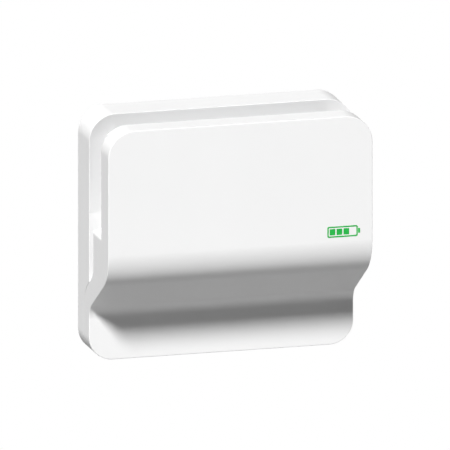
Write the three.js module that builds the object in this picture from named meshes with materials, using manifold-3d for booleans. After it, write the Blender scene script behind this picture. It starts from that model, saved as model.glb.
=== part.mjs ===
// Wall battery unit: a moulded white housing that hangs flat on a wall. A rear slab and a deep front cover
// leave a groove between them, round the top and both sides, where a slack lead can be wound. Below
// the groove the cover's face curves back to a thin lower front. Eight prismatic cells, their busbars
// and the switch gear sit inside, and come into reach when the cover is lifted off forwards.
//
// Frame: X runs along the width, the wall is behind the unit (towards +Y) and the unit's front looks
// towards -Y. Inside the group, "f" is the distance forward from the wall (f = -y) and "h" the height
// above the bottom edge. The group is lowered by half the height, so the origin is the middle of the
// wall face. Millimetres.
import * as THREE from "three";
import { mergeVertices } from "three/addons/utils/BufferGeometryUtils.js";
import Module from "manifold-3d";

const wasm = await Module();
wasm.setup();

// ---- Driving dimensions ------------------------------------------------------------------------

const WIDTH = 330; // rear slab, side to side
const HEIGHT = 305;
const SLAB_FRONT = 51; // f of the rear slab's front face, the groove's rear side
const GROOVE_FRONT = 105; // f of the cover flange's rear face, the groove's front side
const COVER_FRONT = 138;
const GROOVE_DEPTH = 20;
const GROOVE_DROP = 4.5; // the groove's rear side is a shallow dish, sinking by this towards the neck
const DISH = { foot: 166, corner: 21 };
const TOP_CORNER = 33;
const LOW_CORNER = 29.5;
const WALL = 3;
const GAP = 0.5; // between neighbours that meet
const SEAT = 0.4; // between a device and what it is fixed on
const PARTING_GAP = 0.6; // between the cover's rear edge and the rear housing
const EDGE_ROUND = 1.5; // the rounding round the cover's front face
const BADGE_PROUD = 0.2;
const BADGE_SUNK = 0.4;

// The cover's front, seen from the side: flat face, bulge, straight underside, hollow, lower face.
const BULGE_RADIUS = 53.6;
const BULGE_HEIGHT = 151.3; // where the flat face ends
const HOLLOW_RADIUS = 24;
const LOWER_FRONT = 50.6; // f of the lower face
const UNDERSIDE_TURN = THREE.MathUtils.degToRad(56.3); // from the face's normal to the underside's

// The parting line between the rear housing and the cover below the groove.
const STEP_FRONT = 25;
const STEP_TOP = 55;
const STEP_BEND = 82;
const STEP_END = 98.3;

// The slot beside each cheek, where the cover stands clear of the slab.
const SLOT_FRONT = 69;
const SLOT_BEND = 109.6;
const SLOT_END = 118;

// The groove's lower end, a hollow ramp on each side.
const RAMP_TOP = 190;
const RAMP_FOOT = 167;

// Inner frame of the battery compartment, whose outside is the groove's floor.
const NECK_HALF = WIDTH / 2 - GROOVE_DEPTH;
const NECK_TOP = HEIGHT - GROOVE_DEPTH;
const NECK_CORNER = 20;
const NECK_FOOT = 96;
const NECK = [38, 110];
const NECK_CLEAR = { f: 84, h: 113 }; // the neck is cut away in front of and below this
const NECK_FLANGE = 10;
const RIM_REAR = 43.5; // f of the rear of the housing's front wall

// Cells, stood side by side with their terminals to the front.
const CELL_COUNT = 8;
const CELL = { width: 27, depth: 92, height: 148 };
const CELL_PITCH = 27.6;
const CELL_REAR = 12;
const CELL_FOOT = 125;
const CELL_FRONT = CELL_REAR + CELL.depth;
const TERMINAL_HEIGHT = 3;
const TERMINAL_OFFSET = 50;
const CELL_MIDDLE = CELL_FOOT + CELL.height / 2;
const BUSBAR = { thick: 1.6, high: 18, reach: 9, hump: 3 };
const TRAY = { half: 113.5, wall: 2.2, floor: 122, ear: 17, ear_thick: 2 };

// Wiring bay below the cells.
const BAY_REAR = 10; // f where the devices on the rail begin
const BAY_FRONT = 44;
const RAIL_MIDDLE = 88;
const TOGGLE = { x: 22, f: 49, h: 93, hub: 6, reach: 15, tilt: THREE.MathUtils.degToRad(35) };
const CABLE_RADIUS = 3.5;
const POLES = [67, 97]; // X of the terminal block's two poles
const STUDS = [-66, -48]; // X of the terminals on the battery manager's board
const FUSE_X = 136;
const FUSE_F = 31;

// Fastenings and fittings in the bottom wall.
const COVER_SCREW_X = 72;
const COVER_SCREW_F = 38;
const BOTTOM_F = 13.4; // f of everything let into the rear housing's bottom wall
const GROMMETS = { grommet_positive: 96, grommet_negative: 122 };
const VENT_X = -130;
const BUTTON_X = -104;
const PORT_X = 35;

const BOARD = { x: [-150, -16], f: [10, 11.6], h: [36, 116] };
const BRACKET = { x: [-79, 79], f: [0, 2.5], h: [108, 204] };
const BADGE = { x: 129, h: 162.5, long: 41, high: 13.7, line: 1.7 };

const ARC = 6; // steps of a quarter turn
const OUTSIDE = 20; // how far cutting shapes run past what they cut

// ---- Materials ---------------------------------------------------------------------------------

function finish(colour, roughness, metalness = 0) {
  return new THREE.MeshStandardMaterial({ color: colour, roughness, metalness });
}

const MATERIAL = {
  casing: finish(0xf2f2f2, 0.42),
  frame: finish(0xe9e9ea, 0.5),
  seal: finish(0x26282a, 0.85),
  mark: finish(0x1fae3c, 0.4),
  steel: finish(0xb9bdc1, 0.35, 1),
  cell: finish(0x2b62a8, 0.45),
  copper: finish(0xc47a4a, 0.3, 1),
  board: finish(0x1c6b3a, 0.5),
  alloy: finish(0xa9adb1, 0.4, 1),
  device: finish(0xd9dadb, 0.5),
  dark: finish(0x303336, 0.55),
  red: finish(0xb3261e, 0.5),
  black: finish(0x161718, 0.5),
  ribbon: finish(0x8f979e, 0.6),
  ceramic: finish(0xe8e2d2, 0.45),
};

// ---- Shapes ------------------------------------------------------------------------------------

function middle(range) {
  return (range[0] + range[1]) / 2;
}

function grown(range, by) {
  return [range[0] - by, range[1] + by];
}

// A point in the group's own frame.
function at(x, f, h) {
  return new THREE.Vector3(x, -f, h);
}

function block(x, f, h) {
  const geometry = new THREE.BoxGeometry(x[1] - x[0], f[1] - f[0], h[1] - h[0]);
  return geometry.translate(middle(x), -middle(f), middle(h));
}

// An outline in X and h, extruded forward.
function panel(outline, f, round = 0) {
  const geometry = new THREE.ExtrudeGeometry(outline, {
    depth: f[1] - f[0] - 2 * round,
    curveSegments: ARC,
    bevelEnabled: round > 0,
    bevelThickness: round,
    bevelSize: round,
    bevelOffset: -round,
    bevelSegments: 2,
  });
  geometry.rotateX(Math.PI / 2);
  return geometry.translate(0, -f[0] - round, 0);
}

// An outline in f and h, extruded across X.
function slice(outline, x, steps = ARC) {
  const options = { depth: x[1] - x[0], curveSegments: steps, bevelEnabled: false };
  const geometry = new THREE.ExtrudeGeometry(outline, options);
  const forward = new THREE.Vector3(0, -1, 0);
  const up = new THREE.Vector3(0, 0, 1);
  const left = new THREE.Vector3(-1, 0, 0);
  geometry.applyMatrix4(new THREE.Matrix4().makeBasis(forward, up, left));
  return geometry.translate(x[1], 0, 0);
}

// An outline in X and f, extruded upward.
function column(outline, h) {
  const options = { depth: h[1] - h[0], curveSegments: 3, bevelEnabled: false };
  const geometry = new THREE.ExtrudeGeometry(outline, options);
  const right = new THREE.Vector3(1, 0, 0);
  const forward = new THREE.Vector3(0, -1, 0);
  const down = new THREE.Vector3(0, 0, -1);
  geometry.applyMatrix4(new THREE.Matrix4().makeBasis(right, forward, down));
  return geometry.translate(0, 0, h[1]);
}

// A polygon through corner points given as [a, b] pairs.
function polygon(corners) {
  return new THREE.Shape(corners.map(([a, b]) => new THREE.Vector2(a, b)));
}

// A rectangle in X and h, with its own radius for the upper and the lower corners.
function rounded(half, h, topRadius, lowRadius = topRadius) {
  const outline = new THREE.Shape();
  const quarter = Math.PI / 2;
  outline.absarc(half - lowRadius, h[0] + lowRadius, lowRadius, -quarter, 0);
  outline.absarc(half - topRadius, h[1] - topRadius, topRadius, 0, quarter);
  outline.absarc(topRadius - half, h[1] - topRadius, topRadius, quarter, 2 * quarter);
  outline.absarc(lowRadius - half, h[0] + lowRadius, lowRadius, 2 * quarter, 3 * quarter);
  outline.closePath();
  return outline;
}

// A round bar between two points.
function bar(radius, from, to, sides = 12) {
  const way = to.clone().sub(from);
  const geometry = new THREE.CylinderGeometry(radius, radius, way.length(), sides);
  const turn = new THREE.Quaternion();
  turn.setFromUnitVectors(new THREE.Vector3(0, 1, 0), way.clone().normalize());
  geometry.applyQuaternion(turn);
  return geometry.translate(...from.clone().addScaledVector(way, 0.5).toArray());
}

// A section swept along a smooth line through points.
function swept(section, points, steps) {
  const extrudePath = new THREE.CatmullRomCurve3(points, false, "centripetal");
  return new THREE.ExtrudeGeometry(section, { extrudePath, steps, curveSegments: 4 });
}

function solidOf(geometry) {
  const bare = geometry.index ? geometry.toNonIndexed() : geometry.clone();
  bare.deleteAttribute("normal");
  bare.deleteAttribute("uv");
  const merged = mergeVertices(bare, 1e-4);
  return new wasm.Manifold(
    new wasm.Mesh({
      numProp: 3,
      vertProperties: merged.attributes.position.array,
      triVerts: new Uint32Array(merged.index.array),
    }),
  );
}

function geometryOf(solid) {
  const mesh = solid.getMesh();
  const geometry = new THREE.BufferGeometry();
  geometry.setAttribute("position", new THREE.BufferAttribute(mesh.vertProperties, 3));
  geometry.setIndex(new THREE.BufferAttribute(mesh.triVerts, 1));
  return geometry;
}

function joined(...geometries) {
  return geometryOf(geometries.map(solidOf).reduce((sum, next) => sum.add(next)));
}

function cut(geometry, ...tools) {
  return geometryOf(tools.map(solidOf).reduce((left, tool) => left.subtract(tool), solidOf(geometry)));
}

function shared(...geometries) {
  return geometryOf(geometries.map(solidOf).reduce((sum, next) => sum.intersect(next)));
}

// ---- Outlines of the casing --------------------------------------------------------------------

function slabOutline(inset = 0) {
  const h = [inset, HEIGHT - inset];
  return rounded(WIDTH / 2 - inset, h, TOP_CORNER - inset, LOW_CORNER - inset);
}

// The battery compartment's inverted U, open below.
function neckOutline(grow, foot) {
  const half = NECK_HALF + grow;
  const radius = NECK_CORNER + grow;
  const top = NECK_TOP + grow;
  const outline = new THREE.Shape();
  outline.moveTo(-half, foot);
  outline.lineTo(half, foot);
  outline.absarc(half - radius, top - radius, radius, 0, Math.PI / 2);
  outline.absarc(radius - half, top - radius, radius, Math.PI / 2, Math.PI);
  outline.closePath();
  return outline;
}

// The cover's front seen from the side, as a region that reaches back past the wall.
function frontProfile(inset) {
  const face = COVER_FRONT - inset;
  const bulgeF = COVER_FRONT - BULGE_RADIUS;
  const hollowF = LOWER_FRONT + HOLLOW_RADIUS;
  const upperF = bulgeF + BULGE_RADIUS * Math.cos(UNDERSIDE_TURN);
  const upperH = BULGE_HEIGHT - BULGE_RADIUS * Math.sin(UNDERSIDE_TURN);
  const lowerF = hollowF - HOLLOW_RADIUS * Math.cos(UNDERSIDE_TURN);
  const drop = (upperF - lowerF) / Math.tan(UNDERSIDE_TURN);
  const hollowH = upperH - drop - HOLLOW_RADIUS * Math.sin(UNDERSIDE_TURN);
  const profile = new THREE.Shape();
  profile.moveTo(-OUTSIDE, inset);
  profile.lineTo(LOWER_FRONT - inset, inset);
  profile.absarc(hollowF, hollowH, HOLLOW_RADIUS + inset, Math.PI, Math.PI - UNDERSIDE_TURN, true);
  profile.absarc(bulgeF, BULGE_HEIGHT, BULGE_RADIUS - inset, -UNDERSIDE_TURN, 0, false);
  profile.lineTo(face, HEIGHT + OUTSIDE);
  profile.lineTo(-OUTSIDE, HEIGHT + OUTSIDE);
  profile.closePath();
  return profile;
}

// Everything behind the parting line, as a side view.
function rearProfile(gap) {
  const profile = new THREE.Shape();
  profile.moveTo(-OUTSIDE, -OUTSIDE);
  profile.lineTo(STEP_FRONT + gap, -OUTSIDE);
  profile.lineTo(STEP_FRONT + gap, STEP_TOP);
  profile.quadraticCurveTo(STEP_FRONT + gap, STEP_BEND, SLAB_FRONT + gap, STEP_END);
  profile.lineTo(SLAB_FRONT + gap, HEIGHT + OUTSIDE);
  profile.lineTo(-OUTSIDE, HEIGHT + OUTSIDE);
  profile.closePath();
  return profile;
}

// The slots and the groove's depth above them, as a side view.
function slotProfile(grow) {
  const foot = STEP_END - grow * 1.2;
  const profile = new THREE.Shape();
  profile.moveTo(SLAB_FRONT - 12, foot - 8);
  profile.lineTo(SLAB_FRONT, foot);
  profile.quadraticCurveTo(SLOT_FRONT + grow, SLOT_BEND - grow, SLOT_FRONT + grow, SLOT_END);
  profile.lineTo(SLOT_FRONT + grow, HEIGHT + OUTSIDE);
  profile.lineTo(SLAB_FRONT - 12, HEIGHT + OUTSIDE);
  profile.closePath();
  return profile;
}

// ---- Casing ------------------------------------------------------------------------------------

function boss(x, h, f, radius) {
  return bar(radius, at(x, f[0], h), at(x, f[1], h));
}

// Where the tray's ears are screwed to the housing.
function trayScrewPlaces() {
  const x = TRAY.half + TRAY.ear / 2;
  return [140, 258].flatMap((h) => [-x, x].map((side) => [side, h]));
}

function boardCornerPlaces() {
  return grown(BOARD.x, -5).flatMap((x) => grown(BOARD.h, -5).map((h) => [x, h]));
}

function rearHousing() {
  const across = [-WIDTH, WIDTH];
  const shell = shared(panel(slabOutline(), [0, SLAB_FRONT]), slice(rearProfile(0), across, 10));
  const hollow = panel(slabOutline(WALL), [WALL, RIM_REAR]);
  const mouth = panel(neckOutline(GAP, -OUTSIDE), [RIM_REAR - 1, SLAB_FRONT + OUTSIDE]);
  const lowMouth = shared(
    block([WALL - WIDTH / 2, WIDTH / 2 - WALL], [WALL, 60], [WALL, STEP_END - 8]),
    panel(slabOutline(WALL), [WALL, 60]),
  );
  const open = cut(shell, hollow, mouth, dish(), lowMouth);
  const pad = block(grown(BRACKET.x, 4), [WALL - 1, 6.5], grown(BRACKET.h, 4));
  const trayBosses = trayScrewPlaces().map(([x, h]) => boss(x, h, [WALL - 1, 10.6], 5));
  const boardBosses = boardCornerPlaces().map(([x, h]) => boss(x, h, [WALL - 1, 9.6], 3.5));
  const tabs = [-1, 1].map((side) => coverTab(side * COVER_SCREW_X));
  const solid = joined(open, pad, ...trayBosses, ...boardBosses, ...tabs);
  const recess = block(grown(BRACKET.x, GAP), [-1, 3.2], grown(BRACKET.h, GAP));
  const slots = [-50, 50].map((x) => block([x - 7, x + 7], [-1, 8], [183, 194.9]));
  const screwHoles = trayScrewPlaces().map(([x, h]) => boss(x, h, [4, 12], 2.3));
  const glands = Object.values(GROMMETS).map((x) => bottomHole(x, 8.4));
  const port = block([PORT_X - 11.5, PORT_X + 11.5], [5.9, 20.9], [-1, WALL + 1]);
  const round = [bottomHole(VENT_X, 7.4), bottomHole(BUTTON_X, 8.4)];
  return cut(solid, recess, ...slots, ...screwHoles, ...glands, port, ...round);
}

// The shallow dish behind the neck, whose sloped rim is the groove's rear side.
function dish() {
  const options = {
    depth: 0.01,
    curveSegments: ARC,
    bevelThickness: GROOVE_DROP,
    bevelSize: GROOVE_DEPTH,
    bevelOffset: -GROOVE_DEPTH,
    bevelSegments: 1,
  };
  const outline = rounded(WIDTH / 2, [DISH.foot, HEIGHT], TOP_CORNER, DISH.corner);
  const geometry = new THREE.ExtrudeGeometry(outline, options);
  geometry.rotateX(Math.PI / 2);
  return geometry.translate(0, -SLAB_FRONT, 0);
}

// A tab that each cover screw reaches up through, slotted so that the cover comes off forwards.
function coverTab(x) {
  const plate = block([x - 8, x + 8], [WALL - 1, 46], [12, 15]);
  const rib = slice(polygon([[WALL - 1, 14], [30, 14], [WALL - 1, 30]]), [x - 1.5, x + 1.5]);
  const slot = block([x - 2.8, x + 2.8], [COVER_SCREW_F - 3, 50], [10, 17]);
  return cut(joined(plate, rib), slot);
}

function bottomHole(x, radius) {
  return bar(radius, at(x, BOTTOM_F, -1), at(x, BOTTOM_F, WALL + 1), 16);
}

function neckFrame() {
  const sleeve = panel(neckOutline(0, NECK_FOOT), NECK);
  const flange = panel(neckOutline(NECK_FLANGE, NECK_FOOT), [NECK[0], NECK[0] + WALL]);
  const inside = panel(neckOutline(-WALL, NECK_FOOT - 1), grown(NECK, 1));
  const low = block([-WIDTH, WIDTH], [NECK_CLEAR.f, NECK[1] + 1], [NECK_FOOT - 1, NECK_CLEAR.h]);
  return cut(joined(sleeve, flange), inside, low);
}

function neckGasket() {
  const f = [NECK[0] + WALL + GAP, RIM_REAR - GAP];
  const band = panel(neckOutline(NECK_FLANGE - 1, NECK_FOOT), f);
  return cut(band, panel(neckOutline(1, NECK_FOOT - 1), grown(f, 1)));
}

// The region above the ramps that end the groove, as an outline in X and h.
function aboveRamps(grow) {
  const out = WIDTH / 2;
  const wide = out - NECK_HALF - GAP + grow;
  const foot = RAMP_FOOT - grow;
  const outline = new THREE.Shape();
  outline.moveTo(-WIDTH, foot);
  outline.absellipse(-out, RAMP_TOP, wide, RAMP_TOP - foot, -Math.PI / 2, 0);
  outline.absellipse(out, RAMP_TOP, wide, RAMP_TOP - foot, Math.PI, 1.5 * Math.PI);
  outline.lineTo(WIDTH, foot);
  outline.lineTo(WIDTH, HEIGHT + OUTSIDE);
  outline.lineTo(-WIDTH, HEIGHT + OUTSIDE);
  outline.closePath();
  return outline;
}

function frontCover() {
  const across = [-WIDTH, WIDTH];
  const rear = STEP_FRONT - 10;
  const blank = panel(slabOutline(), [rear, COVER_FRONT], EDGE_ROUND);
  const outside = cut(
    shared(blank, slice(frontProfile(0), across, 10)),
    slice(rearProfile(PARTING_GAP), across, 10),
    slice(slotProfile(0), across, 6),
    panel(aboveRamps(0), [rear, GROOVE_FRONT]),
  );
  const inside = shared(panel(slabOutline(WALL), [rear, COVER_FRONT]), slice(frontProfile(WALL), across, 10));
  const walls = cut(
    joined(panel(aboveRamps(WALL), [rear, GROOVE_FRONT + WALL]), slice(slotProfile(WALL), across, 6)),
    panel(neckOutline(GAP, -OUTSIDE), [rear - 1, COVER_FRONT]),
  );
  const hollow = cut(inside, walls);

  const posts = [-COVER_SCREW_X, COVER_SCREW_X].map((x) =>
    bar(6.5, at(x, COVER_SCREW_F, 1), at(x, COVER_SCREW_F, 11.4)),
  );
  const bores = [-COVER_SCREW_X, COVER_SCREW_X].map((x) =>
    joined(
      bar(2.5, at(x, COVER_SCREW_F, -1), at(x, COVER_SCREW_F, 12)),
      bar(5, at(x, COVER_SCREW_F, -1), at(x, COVER_SCREW_F, 5)),
    ),
  );
  const pocket = panel(badgeBlank(0.4), [COVER_FRONT - BADGE_SUNK - 0.3, COVER_FRONT + 1]);
  return cut(joined(cut(outside, hollow), ...posts), ...bores, pocket);
}

// The printed mark's outside: a lying cell with its nub to the right.
function badgeBlank(grow) {
  const { x, h, long, high } = BADGE;
  const left = x - long / 2 - grow;
  const right = x + long / 2 + grow;
  const neck = right - 3 - grow;
  const top = h + high / 2 + grow;
  const low = h - high / 2 - grow;
  const nub = 3 + grow;
  return polygon([
    [left, low],
    [neck, low],
    [neck, h - nub],
    [right, h - nub],
    [right, h + nub],
    [neck, h + nub],
    [neck, top],
    [left, top],
  ]);
}

function badge() {
  const { x, h, long, high, line } = BADGE;
  const f = [COVER_FRONT - BADGE_SUNK, COVER_FRONT + BADGE_PROUD];
  const left = x - long / 2 + line;
  const right = x + long / 2 - 3 - line;
  const inner = [h - high / 2 + line, h + high / 2 - line];
  const window = block([left, right], grown(f, 1), inner);
  const barPitch = (right - left) / 4;
  const bars = [0, 1, 2].map((i) => {
    const start = left + line + i * barPitch;
    return block([start, start + barPitch - line], f, [inner[0] - 0.5, inner[1] - line]);
  });
  return joined(cut(panel(badgeBlank(0), f), window), ...bars);
}

// The plate that stays on the wall; the housing hangs on its two upturned hooks.
function wallBracket() {
  const plate = block(BRACKET.x, BRACKET.f, BRACKET.h);
  const hooks = [-50, 50].flatMap((x) => [
    block([x - 6, x + 6], [1, 9.7], [192, 194.4]),
    block([x - 6, x + 6], [7.3, 9.7], [192, 202]),
  ]);
  const holes = [-65, 65].flatMap((x) => [122, 176].map((h) => boss(x, h, [-1, 4], 3.2)));
  return cut(joined(plate, ...hooks), ...holes);
}

// ---- Battery -----------------------------------------------------------------------------------

function cellX(index) {
  return (index - (CELL_COUNT - 1) / 2) * CELL_PITCH;
}

function cell(index) {
  const x = cellX(index);
  const half = CELL.width / 2;
  const can = column(
    roundedPlan([x - half, x + half], [CELL_REAR, CELL_FRONT], 3),
    [CELL_FOOT, CELL_FOOT + CELL.height],
  );
  const posts = [-1, 1].map((side) => {
    const h = CELL_MIDDLE + side * TERMINAL_OFFSET;
    return block([x - 7, x + 7], [CELL_FRONT - 1, CELL_FRONT + TERMINAL_HEIGHT], grown([h, h], 7));
  });
  const ventHeight = CELL_MIDDLE + 26;
  const vent = bar(6, at(x, CELL_FRONT - 1, ventHeight), at(x, CELL_FRONT + 0.6, ventHeight), 10);
  return joined(can, ...posts, vent);
}

// A rectangle in X and f with rounded corners.
function roundedPlan(x, f, radius) {
  const plan = new THREE.Shape();
  const quarter = Math.PI / 2;
  plan.absarc(x[1] - radius, f[0] + radius, radius, -quarter, 0);
  plan.absarc(x[1] - radius, f[1] - radius, radius, 0, quarter);
  plan.absarc(x[0] + radius, f[1] - radius, radius, quarter, 2 * quarter);
  plan.absarc(x[0] + radius, f[0] + radius, radius, 2 * quarter, 3 * quarter);
  plan.closePath();
  return plan;
}

// Row 1 is the upper row of terminals, row -1 the lower. The links alternate between them.
function rowHeight(row) {
  return CELL_MIDDLE + row * TERMINAL_OFFSET;
}

function linkRow(index) {
  return index % 2 === 0 ? 1 : -1;
}

// A strap between two neighbouring cells, with a hump that takes up their swelling.
function busbar(index) {
  const left = cellX(index);
  const right = cellX(index + 1);
  const centre = (left + right) / 2;
  const f = CELL_FRONT + TERMINAL_HEIGHT + GAP;
  const top = f + BUSBAR.thick;
  const { reach, hump } = BUSBAR;
  const outline = polygon([
    [left - reach, f],
    [centre - 4, f],
    [centre - 2, f + hump],
    [centre + 2, f + hump],
    [centre + 4, f],
    [right + reach, f],
    [right + reach, top],
    [centre + 5, top],
    [centre + 3, top + hump],
    [centre - 3, top + hump],
    [centre - 5, top],
    [left - reach, top],
  ]);
  const h = rowHeight(linkRow(index));
  return column(outline, grown([h, h], BUSBAR.high / 2));
}

// The end strap that a power cable leaves from, with a foot turned out to the front.
function tap(index) {
  const x = cellX(index);
  const f = CELL_FRONT + TERMINAL_HEIGHT + GAP;
  const high = [rowHeight(-1) - BUSBAR.high / 2, rowHeight(-1) + BUSBAR.high / 2];
  const plate = block([x - 9, x + 9], [f, f + BUSBAR.thick], [high[0] - 8, high[1]]);
  const foot = block([x - 9, x + 9], [f, f + 12], [high[0] - 8, high[0] - 8 + BUSBAR.thick]);
  return joined(plate, foot);
}

function senseBoard() {
  const x = [cellX(0) - 10, cellX(CELL_COUNT - 1) + 10];
  const f = [CELL_FRONT + 1, CELL_FRONT + 2.6];
  return block(x, f, grown([CELL_MIDDLE - 4, CELL_MIDDLE - 4], 12));
}

function cellTray() {
  const { half, wall, floor, ear } = TRAY;
  const f = [CELL_REAR - 1, CELL_FRONT];
  const top = CELL_FOOT + CELL.height - 2;
  const base = block([-half, half], f, [floor, floor + wall]);
  const sides = [-1, 1].flatMap((side) => {
    const inner = side * (half - wall);
    const outer = side * (half + ear);
    return [
      block(inOrder(inner, side * half), f, [floor, top]),
      block(inOrder(inner, outer), [f[0], f[0] + TRAY.ear_thick], [floor, top]),
    ];
  });
  const holes = trayScrewPlaces().map(([x, h]) => boss(x, h, [f[0] - 1, f[0] + 4], 2.6));
  return cut(joined(base, ...sides), ...holes);
}

function inOrder(a, b) {
  return [Math.min(a, b), Math.max(a, b)];
}

// A folded strip over the cells that holds them down on the tray.
function cellClamp() {
  const low = CELL_FOOT + CELL.height + 0.6;
  const edge = TRAY.half + GAP;
  const f = [30, 88];
  const top = block([-edge - 2, edge + 2], f, [low, low + 2]);
  const lips = [-1, 1].map((side) => {
    const x = inOrder(side * edge, side * (edge + 2));
    return block(x, f, [low - 18, low + 1]);
  });
  return joined(top, ...lips);
}

// A pan-head screw standing forward on the surface at f, its shank reaching back.
function panScrew(x, f, h, headRadius, headHigh, shankRadius, shankLong) {
  const profile = [
    [0, -shankLong],
    [shankRadius, -shankLong],
    [shankRadius, 0],
    [headRadius, 0],
    [headRadius, headHigh * 0.6],
    [headRadius * 0.7, headHigh],
    [0, headHigh],
  ];
  const geometry = new THREE.LatheGeometry(
    profile.map(([r, y]) => new THREE.Vector2(r, y)),
    12,
  );
  geometry.rotateX(Math.PI);
  return geometry.translate(x, -f, h);
}

// ---- Wiring bay --------------------------------------------------------------------------------

function bmsBoard() {
  const holes = boardCornerPlaces().map(([x, h]) => boss(x, h, [BOARD.f[0] - 1, BOARD.f[1] + 1], 1.6));
  return cut(block(BOARD.x, BOARD.f, BOARD.h), ...holes);
}

function heatsink() {
  const x = [-142, -78];
  const base = [BOARD.f[1] + SEAT, BOARD.f[1] + SEAT + 3];
  const fins = 8;
  const pitch = (x[1] - x[0] - 2) / (fins - 1);
  const outline = [[x[0], base[0]], [x[1], base[0]]];
  for (let i = fins - 1; i >= 0; i -= 1) {
    const left = x[0] + i * pitch;
    outline.push([left + 2, base[1]], [left + 2, 26], [left, 26], [left, base[1]]);
  }
  return column(polygon(outline), [48, 104]);
}

function bayRail() {
  const [low, high] = [RAIL_MIDDLE - 17.5, RAIL_MIDDLE + 17.5];
  const outline = polygon([
    [7.5, low],
    [9, low],
    [9, low + 7],
    [5, low + 7],
    [5, high - 7],
    [9, high - 7],
    [9, high],
    [7.5, high],
    [7.5, high - 5.5],
    [3.5, high - 5.5],
    [3.5, low + 5.5],
    [7.5, low + 5.5],
  ]);
  return slice(outline, [-8, 154]);
}

function isolatorBody() {
  const outline = polygon([
    [BAY_REAR, 58],
    [BAY_FRONT, 58],
    [BAY_FRONT, 73],
    [52, 76],
    [52, 110],
    [BAY_FRONT, 110.5],
    [BAY_FRONT, 118],
    [BAY_REAR, 118],
  ]);
  const { x, f, h, hub } = TOGGLE;
  const slot = block([x - 8.6, x + 8.6], [f - hub - 1, 60], grown([h, h], hub + 1.6));
  return cut(slice(outline, [x - 18, x + 18]), slot);
}

// The switch lever. It points up, switched on, and turns down about its hub to switch off.
function isolatorToggle() {
  const { x, f, h, hub, reach, tilt } = TOGGLE;
  const hubBar = bar(hub, at(x - 8, 0, 0), at(x + 8, 0, 0), 20);
  const lever = block([x - 7, x + 7], [0, reach], [-2.2, 2.2]);
  const grip = block([x - 7, x + 7], [reach - 3, reach], [-3.2, 3.2]);
  const geometry = joined(hubBar, lever, grip);
  geometry.rotateX(-tilt);
  return geometry.translate(0, -f, h);
}

function terminalBlock() {
  const body = block([POLES[0] - 15, POLES[1] + 15], [BAY_REAR, BAY_FRONT], [62, 118]);
  const wells = POLES.map((x) => bar(6.5, at(x, 34, RAIL_MIDDLE), at(x, 50, RAIL_MIDDLE), 16));
  return cut(body, ...wells);
}

// The strap from the isolator's outgoing clamp to the positive pole.
function linkBar() {
  return block([TOGGLE.x - 6, POLES[0] + 6], [BAY_FRONT + SEAT, BAY_FRONT + SEAT + 2], [111.3, 117.5]);
}

function fuseHolder() {
  const x = [FUSE_X - 14, FUSE_X + 14];
  const base = block(x, [BAY_REAR, 20], [58, 118]);
  const feet = [[58, 72], [104, 118]].map((h) => block([FUSE_X - 8, FUSE_X + 8], [19, FUSE_F - 1.4], h));
  return joined(base, ...feet);
}

function fuseLink() {
  const barrel = bar(9, at(FUSE_X, FUSE_F, 76), at(FUSE_X, FUSE_F, 100), 16);
  const blade = block([FUSE_X - 6, FUSE_X + 6], [FUSE_F - 1, FUSE_F + 1], [59, 117]);
  return joined(barrel, blade);
}

function bmsTerminals() {
  return block([STUDS[0] - 8, STUDS[1] + 8], [BOARD.f[1] + GAP, 22], [94, 112]);
}

function relay() {
  return block([-72, -40], [BOARD.f[1] + SEAT, 36], [52, 82]);
}

function senseSocket() {
  return block([-33, -17], [BOARD.f[1] + SEAT, 20], [92, 108]);
}

// ---- Cables held inside ------------------------------------------------------------------------

function cable(points, steps) {
  const section = new THREE.Shape();
  section.absarc(0, 0, CABLE_RADIUS, 0, 2 * Math.PI);
  return swept(section, points.map((p) => at(...p)), steps);
}

const TAP_FOOT = rowHeight(-1) - BUSBAR.high / 2 - 8;

const CABLE_ROUTES = {
  positive_cable: [
    [cellX(7), 113, TAP_FOOT - 0.4],
    [cellX(7), 113, 124],
    [101, 106, 114],
    [114, 80, 108],
    [128, 52, 108],
    [135, 41, 110],
    [136, FUSE_F + 2, 110],
  ],
  fuse_lead: [
    [136, FUSE_F + 2, 66],
    [136, 38, 65],
    [131, 42, 55],
    [112, 39, 47],
    [60, 38, 46],
    [32, 36, 47],
    [22, 33, 51],
    [22, 32, 57.4],
  ],
  negative_cable: [
    [cellX(0), 113, TAP_FOOT - 0.4],
    [cellX(0), 113, 124],
    [-94, 106, 114],
    [-82, 76, 107],
    [-70, 46, 104],
    [-66, 32, 103],
    [-66, 22.5, 103],
  ],
  pack_lead: [
    [-48, 22.5, 103],
    [-47, 33, 102],
    [-41, 40, 92],
    [-33, 40, 72],
    [-19, 38, 52],
    [10, 30, 38],
    [50, 25, 34],
    [82, 25, 37],
    [95, 26, 47],
    [97, 27, 61.4],
  ],
};

function senseLead() {
  const points = [
    at(-25, CELL_FRONT + 3.6, 188),
    at(-25, 110, 178),
    at(-25, 114, 160),
    at(-25, 114, 138),
    at(-25, 108, 122),
    at(-25, 88, 112),
    at(-25, 50, 110),
    at(-25, 30, 104),
    at(-25, 20.8, 100),
  ];
  const section = new THREE.Shape();
  section.moveTo(-6, -0.5);
  section.lineTo(6, -0.5);
  section.lineTo(6, 0.5);
  section.lineTo(-6, 0.5);
  section.closePath();
  return swept(section, points, 24);
}

// ---- Fittings in the bottom wall ---------------------------------------------------------------

// A rubber plug: a disc flush with the outside and a wider flange inside.
function plug(x, radius) {
  return joined(
    bar(radius - 0.4, at(x, BOTTOM_F, 0.2), at(x, BOTTOM_F, 4), 16),
    bar(radius + 1.4, at(x, BOTTOM_F, WALL + GAP), at(x, BOTTOM_F, 5.4), 16),
  );
}

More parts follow.
